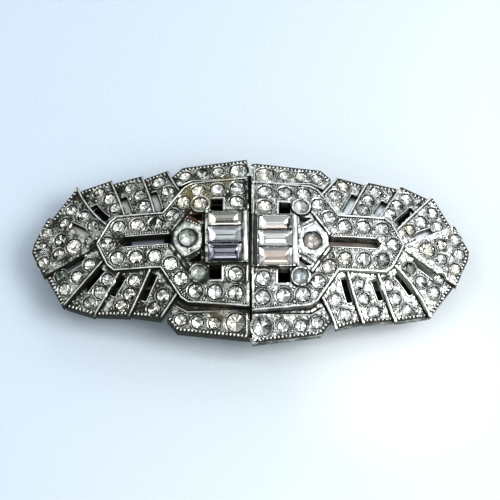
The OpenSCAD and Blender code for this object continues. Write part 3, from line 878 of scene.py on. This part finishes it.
# Smooth stones: their foil, then patches of another colour, each with a middle and a radius. The
# white patches are painted highlights and the dark ones painted shade
SMOOTH = {
    "left_plate_stone": (MIST, (WHITE, -0.2, -0.35, 0.42), (WHITE, -0.9, 0.1, 0.30),
                         (PAINTED_FOIL_SHADE, 0.6, 0.75, 0.62)),
    "left_collet_stone_lower": (MIST, (WHITE, -1.0, 0.0, 0.5), (PAINTED_FOIL_SHADE, 0.2, 0.9, 0.35)),
    "right_collet_stone_upper": (SMOKE, (WHITE, -1.05, 0.0, 1.05), (PAINTED_FOIL_SHADE, 0.9, 0.8, 0.5)),
    "right_collet_stone_lower": (STEEL, (WHITE, -0.3, -0.4, 0.25), (PAINTED_FOIL_SHADE, 0.2, 1.0, 0.45)),
    "right_plate_stone": (CLAY, (WHITE, -0.3, -0.4, 0.3), (PAINTED_FOIL_SHADE, 0.75, 0.75, 0.62),
                          (PAINTED_FOIL_SHADE, -0.3, 0.95, 0.35))}
# Stones that have changed colour: node's side, x, y in the frame
ODD_STONES = (("left", -8.9, 6.9, AMBER), ("left", -22.3, -10.6, AMBER), ("left", -33.2, -5.0, MIST),
              ("left", -9.3, 9.4, STRAW), ("left", -11.9, 7.2, STRAW), ("right", 28.2, 3.2, AMBER),
              ("right", 31.3, -0.6, STRAW), ("right", 23.1, -3.3, MIST), ("right", 27.9, -4.3, SMOKE),
              ("right", 16.5, -3.4, STRAW))
STONE_PLAY = 0.02       # how much smaller a drawn stone is than the solid that it replaces
DARK_WEDGES = 0.12      # part of a foil's wide facets that are dark


def wedge_tints(colour, faces, slots):
    """The foil's wide facets are light but for a few. The narrow ones are painted dark as painted
    reflection, and its edge as painted shade.
    """
    tints = []
    edge = len(faces) - 2*len(faces[0])
    for i, (slot, face) in enumerate(zip(slots, faces)):
        k = 1 - 0.10*rng.random()
        # Narrow facets and a few wide ones are dark; the narrow ones as painted reflection
        if slot and (len(face) == 3 or rng.random() < DARK_WEDGES):
            k = 0.04 + 0.5*rng.random()**2
        # The foil's edge is painted dark, as painted shade in the gap round the stone
        if i >= edge:
            k = 0.05 + 0.15*rng.random()
        tints.append(tuple(c*k for c in colour))
    return tints


def facet_lean(middle):
    """The direction that a facet mirrors along: up, and leaning in by 5 to 17 degrees."""
    reach = math.hypot(*middle[:2])
    if reach < 0.05:
        return (0, 0, 1)
    turn = math.atan2(middle[1], middle[0]) + math.radians(rng.normal(0, 10))
    slope = math.radians(rng.uniform(5, 17))
    return (-math.cos(turn)*math.sin(slope), -math.sin(turn)*math.sin(slope), math.cos(slope))


def stone_colour(name, place):
    for word, x, y, colour in ODD_STONES:
        if name.startswith(word) and (place[0] - x)**2 + (place[1] - y)**2 < 1:
            print(name, "changed at", x, y)
            return colour
    warm = rng.random()
    light = 0.95 + 0.05*rng.random()
    if name.startswith("left") and warm < 0.35 or warm < 0.15:
        return (light, light*0.985, light*0.90)
    return (light*0.98, light, light*(0.95 if name.startswith("left") else 0.99))


for name, found in stones.items():
    heap = Heap()
    for place, axis, radius in found:
        if name in SMOOTH:
            tints = []
            for f in dome_faces:
                x, y, _ = dome_points[f].mean(0)
                near = [c for c, u, v, r in SMOOTH[name][1:] if math.hypot(x - u, y - v) < r]
                tints.append(near[0] if near else SMOOTH[name][0])
            seat = standing(place*MM, axis)
            heap.add(stamped(dome_points*(radius - STONE_PLAY)*MM, seat), dome_faces, dome_slots, tints)
            continue
        tilt = Vector(axis) + Vector(rng.normal(0, 0.03, 3))
        spin = rng.random()*2*math.pi
        seat = standing(place*MM, tilt, (math.cos(spin), math.sin(spin), 0))
        colour = stone_colour(name, place)
        points, faces, slots = cuts[int(radius > LARGE)]
        facets = [seat.to_3x3() @ Vector(facet_lean(points[f].mean(0))) for f in faces]
        tints = wedge_tints(colour, faces, slots)
        heap.add(stamped(points*(radius - STONE_PLAY)*MM, seat), faces, slots, tints, facets)
    smooth = name in SMOOTH
    heap.piece(name + "_cut", [clear_glass, grey_foil if smooth else bright_foil[name.split("_")[0]]],
               smooth=smooth, replaces=[name])

# %% [markdown]
# Each stone sits in a countersunk seat, whose rim stands up as a low collar. Its inner wall was cut
# bright, so it shines where it faces the window and is dark where it faces away. Where two stones
# are close, their collars meet half way. Grains were pushed over the edges, and more fill the
# metal between. Their places are thrown at random, and a throw is kept where the metal is flat,
# clear of every stone, and clear of the grains already there.

# %% Collars and grains
GIRDLE_SINK = 0.08
COLLAR_W = 0.30
COLLAR_H = 0.10
COLLAR_STEPS = 28
PRONG = (0.14, 0.17, 0.20)


def stones_of(side):
    return [s for n, found in stones.items() if n.startswith(side) for s in found]


def add_collar(heap, seat, place, radius, widest, centres, radii):
    """A collar round a stone, as wide at each angle as its neighbours allow."""
    angles = [2*math.pi*i/COLLAR_STEPS for i in range(COLLAR_STEPS)]
    inner, outer = [], []
    for a in angles:
        out = np.array(seat.to_3x3() @ Vector((math.cos(a), math.sin(a), 0)))
        w = widest
        while w > 0.05:
            room = (np.linalg.norm(place + out*(radius + w) - centres, axis=1) - radii).min()
            if room >= w - 0.001:
                break
            w -= 0.03
        h = GIRDLE_SINK + COLLAR_H*w/COLLAR_W
        inner.append([(radius, -0.10), (radius + 0.04, h - (w - 0.04)*0.55), (radius + w, h)])
        outer.append([(radius + w, h), (radius + w*1.5, GIRDLE_SINK - 0.06)])
    for rows in (inner, outer):
        tiers = len(rows[0])
        points = [(row[t][0]*math.cos(a), row[t][0]*math.sin(a), row[t][1]) for t in range(tiers)
                  for a, row in zip(angles, rows)]
        heap.add(stamped(np.array(points)*MM, seat), [f[::-1] for f in between_tiers(tiers, COLLAR_STEPS)])


def add_prongs(heap, seat, place, axis, radius, seats, back):
    """Four grains pushed over the edge of a stone, where the next stone leaves room."""
    turn = rng.random()*2*math.pi
    for k in range(4):
        a = turn + (k + 0.3*rng.random())*math.pi/2
        out = seat.to_3x3() @ Vector((math.cos(a), math.sin(a), 0))
        spot = Vector((place + axis*(GIRDLE_SINK + 0.02))*MM) + out*(radius + 0.10)*MM
        if min((back @ spot/MM - p).length - r for p, r in seats) < 0.02:
            continue
        size = np.array(PRONG)*(0.85 + 0.3*rng.random())
        heap.add(stamped(BEAD_POINTS*size*MM, standing(spot, axis, out)), BEAD_FACES)


GRAIN_GAP = {"left": 0.42, "right": 0.26}
THROWS = 30000
ARCH_END = 8.2          # the long stones' arch has no grains: its end along x, and its half width
ARCH_HALF = 5.2
LEAST_GRAIN_LEVEL = -0.55
PLATE_EDGE = ((8.4, 2.15), (11.35, 3.85), (13.55, 1.05))
plate_corners = [Vector(p) for p in lean(PLATE_EDGE) + lean_below(PLATE_EDGE)[::-1]]
plate_sides = list(zip(plate_corners, plate_corners[1:] + plate_corners[:1]))


def on_plate(x, y):
    """Whether a point is on the six-sided plate, which has no grains."""
    return all((b - a).cross(Vector((x, y)) - a) < 0.1 for a, b in plate_sides)


def crowded(thrown, x, y, size, gap):
    """Whether a grain would stand too near another. They are kept by half millimetre squares."""
    near = [(int(x*2) + i, int(y*2) + j) for i in (-1, 0, 1) for j in (-1, 0, 1)]
    return any((x - u)**2 + (y - v)**2 < (size + r + gap)**2 for n in near for u, v, r in thrown.get(n, ()))


def flat_enough(side, x, y, found, reach):
    """Whether the metal round a grain's place is in one plane, to 0.04 mm."""
    around = [drop(side, x + dx, y + dy) for dx, dy in ((reach, 0), (-reach, 0), (0, reach), (0, -reach))]
    return all(a is not None and abs((a[0] - found[0]).dot(found[1])) < 0.04 for a in around)


for side in SIDES:
    heap = Heap()
    back = plans[side].inverted()
    seats = [(back @ Vector(place*MM)/MM, radius) for place, axis, radius in stones_of(side)]
    centres, _, radii = (np.array(column) for column in zip(*stones_of(side)))
    for name, found in stones.items():
        if not name.startswith(side):
            continue
        for place, axis, radius in found:
            seat = standing(place*MM, axis)
            others = np.linalg.norm(centres - place, axis=1) > 0.1
            widest = COLLAR_W*(0.5 if name in SMOOTH else 1)
            add_collar(heap, seat, place, radius, widest, centres[others], radii[others])
            if name not in SMOOTH:
                add_prongs(heap, seat, place, axis, radius, seats, back)
    heap.piece(side + "_stone_rings", [worn[side]])

    heap = Heap()
    thrown = {}
    throws = (rng.uniform(0.5, 38.8, THROWS), rng.uniform(-17, 17, THROWS), rng.random(THROWS))
    for x, y, k in zip(*throws):
        size = 0.12 + 0.20*k**1.5
        if x < ARCH_END and abs(y) < ARCH_HALF or on_plate(x, y):
            continue
        if crowded(thrown, x, y, size, GRAIN_GAP[side]):
            continue
        if any((x - p.x)**2 + (y - p.y)**2 < (r + 0.30 + size)**2 for p, r in seats):
            continue
        found = drop(side, x, y)
        if found is None or found[1].z < 0.85 or found[0].z < face_z(x, y) + LEAST_GRAIN_LEVEL:
            continue
        if not flat_enough(side, x, y, found, size + 0.02):
            continue
        thrown.setdefault((int(x*2), int(y*2)), []).append((x, y, size))
        long = 1 + 0.35*rng.random()
        a = rng.random()*math.pi
        add_bead(heap, side, (x, y), (size*long, size, size*0.8), (math.cos(a), math.sin(a)))
    heap.piece(side + "_grains", [worn[side]])

# %% [markdown]
# The six-sided plate between the long stones and the slot is smooth and has no grains. A thin
# sheet with a round hole, a little proud of the casting, gives it a finish of its own. Along its
# two edges beside the long stones runs a lip, or in one place on the left clip a row of beads.

# %% Plate faces
PLATE_MIDDLE = Vector((10.9, 0))
PLATE_HOLE = 1.72
PLATE_INSET = 0.12
PLATE_LEVEL = 0.97
PLATE_FALL = 0.10       # of its two borders
PLATE_EDGING = ((8.75, 2.1), (11.1, 3.4))
PLATE_LIP = (0.24, 0.10, ON_BAND)
PLATE_BEAD = (0.22, 0.25, 0.24)
PLATE_PITCH = 0.55


def plate_rim(heading):
    """Where a ray from the plate's middle meets the plate's outline."""
    for a, b in plate_sides:
        cross = heading.cross(b - a)
        if abs(cross) > 1e-9:
            along = (a - PLATE_MIDDLE).cross(b - a)/cross
            part = (a - PLATE_MIDDLE).cross(heading)/cross
            if along > 0 and -1e-6 <= part <= 1 + 1e-6:
                return PLATE_MIDDLE + heading*along
    return PLATE_MIDDLE


for side in SIDES:
    heap = Heap()
    n, tiers = 48, 5
    headings = [Vector(p[:2]) for p in ring(1, 0, n)]
    points = []
    for t in range(tiers):
        fall = 0 if 0 < t < tiers - 1 else PLATE_FALL
        for heading in headings:
            rim = plate_rim(heading) - heading*PLATE_INSET
            x, y = (PLATE_MIDDLE + heading*PLATE_HOLE).lerp(rim, t/(tiers - 1))
            points.append(on_plan(side, x, y, face_z(x, y) + PLATE_LEVEL - fall))
    heap.add(points, [f[::-1] for f in between_tiers(tiers, n)])
    heap.piece(side + "_plate_face", [plate_face[side]])

    heap = Heap()
    add_lip(heap, side, lean(PLATE_EDGING), *PLATE_LIP)
    if side == "left":
        for spot, heading in steps(lean_below(PLATE_EDGING), PLATE_PITCH):
            add_bead(heap, side, spot, PLATE_BEAD, heading, ON_BAND)
    else:
        add_lip(heap, side, lean_below(PLATE_EDGING), *PLATE_LIP)
    heap.piece(side + "_plate_beads", [polished[side]])

# %% [markdown]
# The long stones are step cut: each side goes down to the girdle in flat steps and on to a keel,
# so they show long bands instead of sparks. Each face of their foil has a named colour of its own,
# given one by one. Cream, lilac and rose are the foil's own discolouring; the dark and the white
# bands are painted reflection, standing in for the bands that the steps throw back.

# %% Long stones
BAGUETTE = (5.84, 3.05)
BAGUETTE_PLAY = (0.06, 0.04)
# Each tier of corners, from the keel to the table: how far in from each end and side, and its z
STEP_TIERS = ((1.30, 1.40, -0.95), (0.88, 0.80, -0.70), (0.42, 0.40, -0.38), (0, 0, -0.04),
              (0, 0, 0.04), (0.22, 0.22, 0.22), (0.46, 0.44, 0.40), (0.72, 0.66, 0.54))
FOIL_TIERS = 3


def step_cut(length, width):
    points = []
    for dx, dy, z in STEP_TIERS:
        x, y = length/2 - dx, max(width/2 - dy, 0.1)
        points += [(-x, -y, z), (x, -y, z), (x, y, z), (-x, y, z)]
    faces = [[0, 1, 2, 3]] + between_tiers(len(STEP_TIERS), 4)
    faces.append(list(range(len(points) - 4, len(points))))
    slots = [1]*(1 + 4*FOIL_TIERS) + [0]*(len(faces) - 1 - 4*FOIL_TIERS)
    points = np.array(points)
    return points, outward(points, faces), slots


step_points, step_faces, step_slots = step_cut(*(a - b for a, b in zip(BAGUETTE, BAGUETTE_PLAY)))
CREAM = (0.97, 0.94, 0.86)
TAN = (0.56, 0.48, 0.43)
ICE = (0.86, 0.90, 0.95)
LILAC = (0.50, 0.50, 0.58)
INK = (0.07, 0.065, 0.10)
SHADE = (0.12, 0.12, 0.10)
SLATE = (0.42, 0.45, 0.43)
ROSE = (0.84, 0.71, 0.62)
# Foil of each long stone, from the top: keel, then the near, right, far and left sides of three tiers.
# Its dark and white faces are painted reflection
LONG_TINTS = {
    "left": ((SHADE, SHADE, CREAM, CREAM, CREAM, CREAM, CREAM, SLATE, CREAM, CREAM, CREAM, SHADE, CREAM),
             (INK, SLATE, WHITE, ICE, WHITE, INK, ICE, ICE, WHITE, INK, LILAC, ICE, LILAC),
             (INK, LILAC, INK, LILAC, INK, INK, LILAC, INK, LILAC, INK, SLATE, ICE, SLATE)),
    "right": ((WHITE, TAN, WHITE, WHITE, WHITE, TAN, SHADE, WHITE, WHITE, SHADE, CREAM, SLATE, WHITE),
              (SLATE, WHITE, WHITE, WHITE, SLATE, WHITE, WHITE, WHITE, WHITE, SHADE, WHITE, SLATE, ICE),
              (ROSE, ROSE, ROSE, ROSE, ROSE, ROSE, WHITE, CREAM, ICE, CREAM, WHITE, WHITE, ICE))}
LONG_LEAN = 0.14        # how far the foil's sides and ends mirror toward the stone's middle


def read_long_stone(corners):
    """Middle of the girdle and axes of a long stone, from its sixteen corners."""
    middle = corners.mean(0)
    _, _, axes = np.linalg.svd(corners - middle)
    along = axes[0]*np.sign(axes[0][0])
    up = np.cross(along, axes[1])
    up *= np.sign(up[2])
    girdle = corners[np.abs((corners - middle) @ along) > BAGUETTE[0]/2 - 0.05]
    return girdle.mean(0), along, up


def long_lean(middle):
    """The direction that one side or end of the foil mirrors along."""
    x, y, _ = middle
    if abs(x) > 1:
        return Vector((-np.sign(x)*LONG_LEAN, 0, 1)).normalized()
    return Vector((0, -np.sign(round(y, 2))*LONG_LEAN, 1)).normalized()


for side in SIDES:
    names = [f"{side}_baguette_{k}" for k in (1, 2, 3)]
    seats = [(name, *read_long_stone(loose_solids(name)[0])) for name in names]
    seats.sort(key=lambda seat: -seat[1][1])
    level = standing(Vector(), seats[1][3], seats[1][2]).to_3x3()
    for (name, place, along, up), tints in zip(seats, LONG_TINTS[side]):
        heap = Heap()
        tints = tints + (WHITE,)*(len(step_faces) - len(tints))
        seat = standing(place*MM, up, along)
        facets = [level @ long_lean(step_points[f].mean(0)) for f in step_faces]
        heap.add(stamped(step_points*MM, seat), step_faces, step_slots, tints, facets)
        heap.piece(name + "_cut", [clear_glass, long_foil], smooth=False, replaces=[name])

# %% [markdown]
# The floor is a sheet of pale blue paper. Its colour is painted paler toward the window at the right,
# as painted light, with a painted patch of light by the brooch's lower right. The brooch stands a
# few millimetres off it, and in the photo nearly no light gets under there: what shows through the
# slots is black. The render's light gets further in, so a painted shadow darkens the paper where the
# brooch hides it from the sky, and most of all right under it.

# %% Paper
# Paper colours away from the window and toward it, a painted fall of light; its fibres; and a painted patch
# of light
PAPER_LEFT = (0.512, 0.597, 0.690)
PAPER_RIGHT = (0.605, 0.655, 0.680)
PAPER_FIBRE = (0.70, 0.78, 0.85)
PAPER_LIT = (0.76, 0.81, 0.84)
# Colours of the painted shadow right under the brooch, darker away from the window, and at its edges
UNDER_LEFT = (0.02, 0.018, 0.015)
UNDER_RIGHT = (0.10, 0.11, 0.10)
EDGE_SHADE = (0.03, 0.035, 0.04)
UNDER_REACH = 38        # half length of the dark patch under the brooch
UNDER_SQUEEZE = 3.4     # its length over its width


def paper():
    m = Recipe("paper")
    fibre = m.noise(0.6*MM, 4.0, 0.7)
    to_window = m.vector_math("DOT_PRODUCT", m.place(), (1, -0.4, 0))
    # Painted light: the paper is painted paler toward the window
    colour = m.mix(PAPER_LEFT, PAPER_RIGHT, to_window.above(-60*MM, 60*MM))
    colour = m.mix(colour, PAPER_FIBRE, fibre.above(0.3, 1.6))
    # Painted shadow where something stands within 8 mm over the paper, weaker toward the window
    sky = m.open_sky(8) + to_window.above(0, 40*MM)*0.5
    colour = m.mix(EDGE_SHADE, colour, sky.above(-0.1, 0.55))
    # A painted patch of light by the brooch's lower right
    colour = m.mix(colour, PAPER_LIT, m.spot((25, -18, 0), 24, 0.9)*0.8)
    # A painted shadow right under the brooch, darkest away from the window
    squeezed = m.vector_math("MULTIPLY", m.place(), (1, UNDER_SQUEEZE, 1), out="Vector")
    under = m.mix(UNDER_LEFT, UNDER_RIGHT, to_window.above(5*MM, 25*MM))
    away = m.vector_math("LENGTH", squeezed)
    colour = m.mix(under, colour, away.above(UNDER_REACH*0.6*MM, UNDER_REACH*MM))
    # One more painted shadow, under the window in the left clip's upper half
    colour = m.mix(colour, UNDER_LEFT, m.spot((-6, 10.5, 0), 7.5, 0.95))
    return m.finish({"Base Color": colour, "Roughness": 0.85, "Normal": m.bump(fibre, 0.01*MM, 0.3)})


FLOOR = 1.5
floor_mesh = bpy.data.meshes.new("floor")
floor_mesh.from_pydata([(-FLOOR, -FLOOR, 0), (FLOOR, -FLOOR, 0), (FLOOR, FLOOR, 0), (-FLOOR, FLOOR, 0)], [],
                       [(0, 1, 2, 3)])
floor_mesh.materials.append(paper())
floor = add_object("floor", floor_mesh)
print("the paper is", 2*FLOOR, "m wide")

# %% [markdown]
# Daylight comes from a window at the upper right, as the photo's shadows show. A far weaker and
# smaller lamp at the left gives the metal there a few sharp glints.

# %% Window and lamp
def soft_light(name, place, side, watts, colour):
    """A square light that faces the brooch."""
    data = bpy.data.lights.new(name, "AREA")
    data.size = side
    data.energy = watts
    data.color = colour
    light = add_object(name, data)
    light.location = place
    light.rotation_mode = "QUATERNION"
    light.rotation_quaternion = (-Vector(place)).to_track_quat("-Z", "Y")
    print(name, "gives", watts, "W")


soft_light("window", (0.22, -0.06, 0.28), 0.20, 0.80, (1.0, 0.98, 0.95))
soft_light("lamp", (-0.12, 0.06, 0.30), 0.05, 0.07, (1, 1, 1))

# %% [markdown]
# Polished metal and foil show what they reflect, so the room matters as much as the window. It is
# a dim room with one wide bright side at the right, a less bright one behind the brooch, uneven
# grey walls elsewhere, no light from below the table's edge, and a darker patch over the camera.

# %% Room
def panel(m, direction, toward, reach, soft):
    """1 inside a round panel of the room, reach degrees from the middle of it."""
    near = m.vector_math("DOT_PRODUCT", direction, Vector(toward).normalized())
    return near.above(math.cos(math.radians(reach + soft)), math.cos(math.radians(reach - soft)))


m = Recipe("room", bpy.data.worlds)
direction = m.node("TexCoord", out="Generated")
height = m.node("SeparateXYZ", {}, {0: direction}, "Z")
walls = m.noise(0.35, 1.0, 0.5, direction).above(0.48, 0.56)
bright_side = panel(m, direction, (0.61, 0.15, 0.78), 38, 10)
back_wall = panel(m, direction, (0.45, 0.78, 0.45), 25, 8)
light = 0.12 + bright_side*(0.85 + 0.45*walls) + (1 - bright_side)*(1.45*walls + 1.15*back_wall)
light = light*height.above(0.08, 0.40)*(1 - 0.6*panel(m, direction, (0, -0.39, 0.92), 9, 5))
sky = m.node("Background", {}, {"Color": (0.94, 0.98, 1.0, 1), "Strength": light})
m.node("OutputWorld", {}, {"Surface": sky})
bpy.context.scene.world = m.made
bpy.context.scene.view_settings.view_transform = "Standard"
bpy.context.scene.view_settings.look = "Medium High Contrast"
